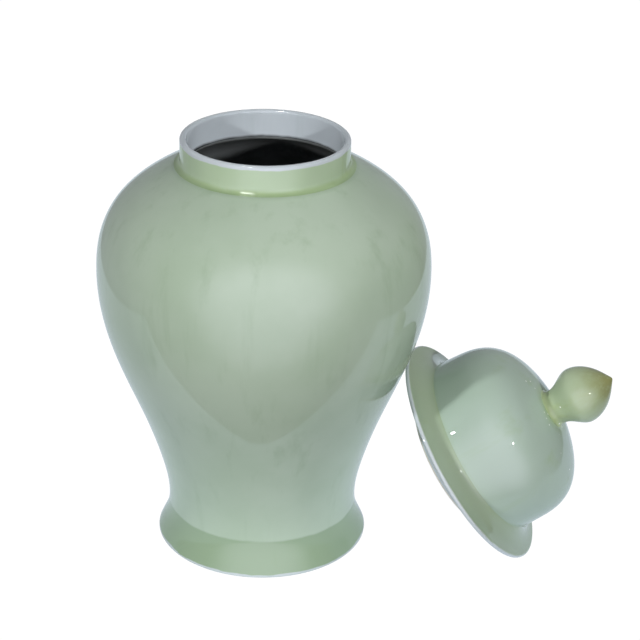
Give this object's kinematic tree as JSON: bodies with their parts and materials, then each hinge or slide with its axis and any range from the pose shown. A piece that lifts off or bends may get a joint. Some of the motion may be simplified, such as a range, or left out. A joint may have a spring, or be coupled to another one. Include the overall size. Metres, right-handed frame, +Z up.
{
  "type": "ginger jar",
  "caption": "Glazed baluster jar with a short open neck and flared foot, its domed lid with a bud knob set down leaning against it.",
  "frame": {"origin": "centre of the circle on which the jar's foot stands, on the floor", "axes": "+Z up the jar's axis, out through its mouth; +X from the jar towards the lid that leans against it; +Y away from the viewer"},
  "size_m": [0.4993, 0.3204, 0.418],
  "materials": {
    "foot_and_floor": "gloss celadon glaze over white porcelain, unglazed on the standing edge",
    "jar_glaze": "gloss pale green celadon glaze outside, dark thin wash inside",
    "neck_glaze": "gloss celadon glaze, thin and pale over the lip and inside",
    "lid_glaze": "gloss pale green celadon glaze",
    "collar_glaze": "thin pale glaze, bare clay at the end",
    "knob_glaze": "gloss celadon glaze with an olive brown tip"
  },
  "bodies": {
    "jar": {"jar_base": "foot_and_floor", "jar_lower_body": "jar_glaze", "jar_upper_body": "jar_glaze", "jar_neck": "neck_glaze"},
    "lid": {"lid_brim": "lid_glaze", "lid_dome": "lid_glaze", "lid_collar": "collar_glaze", "lid_knob": "knob_glaze"}
  },
  "joints": [
    {"name": "lid_lift", "type": "slide", "parent": "jar", "child": "lid", "axis": [0.8117, -0.1064, 0.5743], "range_m": [0, 0.25]}
  ]
}
